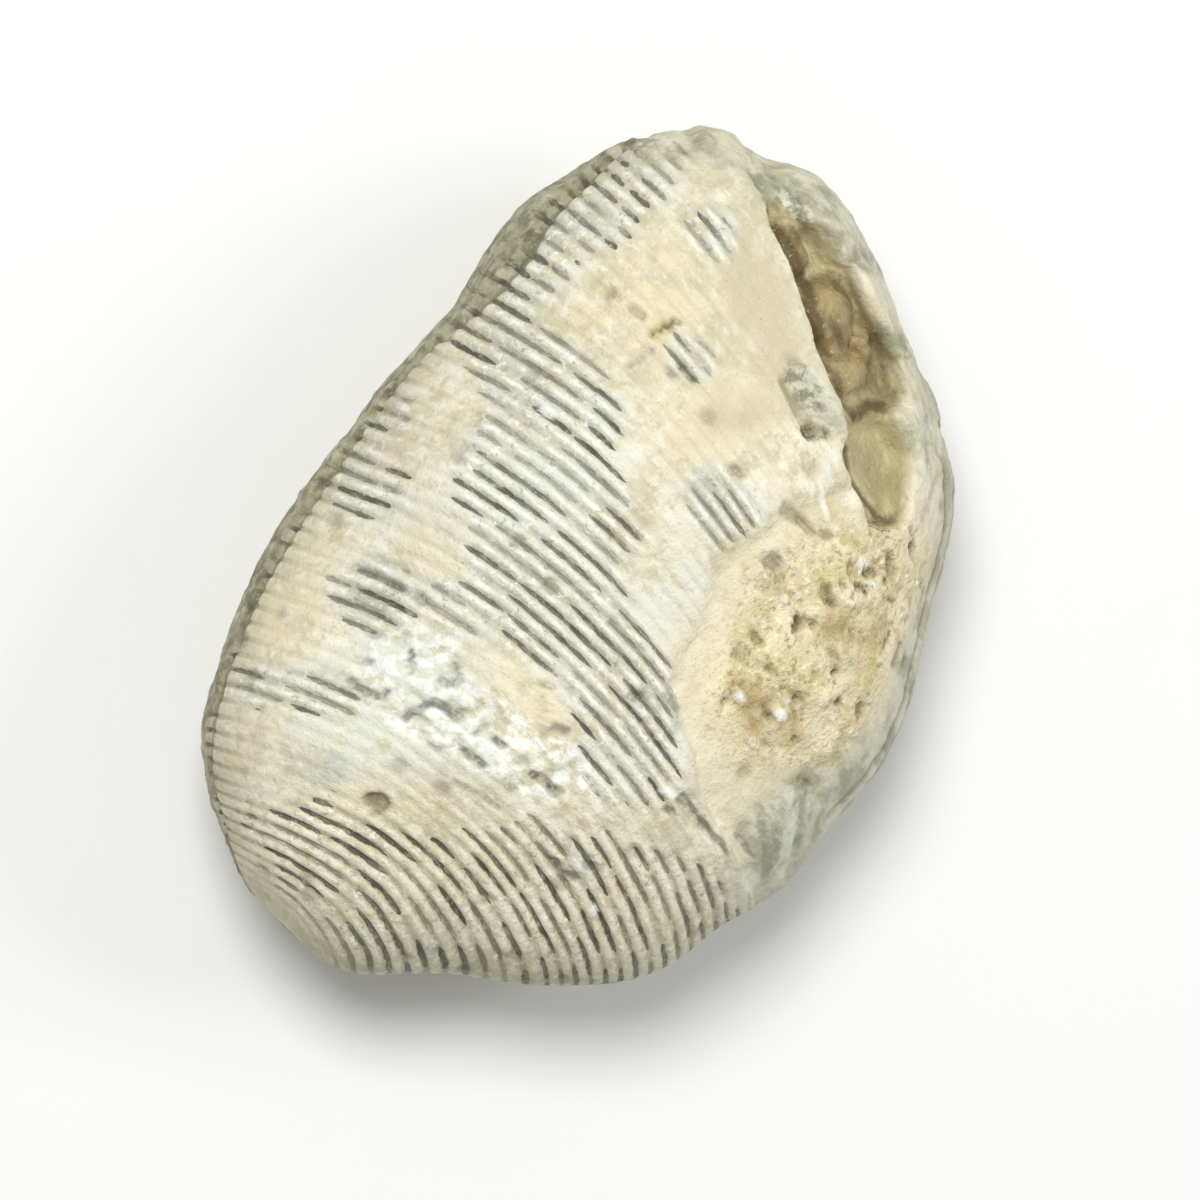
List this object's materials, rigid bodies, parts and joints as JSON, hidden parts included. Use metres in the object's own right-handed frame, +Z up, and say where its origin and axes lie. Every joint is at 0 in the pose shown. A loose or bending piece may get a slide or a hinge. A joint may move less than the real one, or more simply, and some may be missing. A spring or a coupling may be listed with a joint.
{
  "type": "brachiopod fossil",
  "caption": "Loose fossil brachiopod shell, cream limestone, domed and finely ribbed, with a worn beak side and a long pit beside one rim; lies on its flatter valve.",
  "frame": {"origin": "on the ground under the middle of the shell's bounding box", "axes": "+X along the hinge side, the shell's longest extent; +Y towards the front margin; +Z up, from the flatter lower valve to the domed upper valve"},
  "size_m": [0.0396, 0.0278, 0.0185],
  "materials": {
    "fossil": "matte cream shell limestone with grey-filled grooves and ochre stains"
  },
  "bodies": {
    "root": {"fossil": "fossil"}
  },
  "joints": []
}
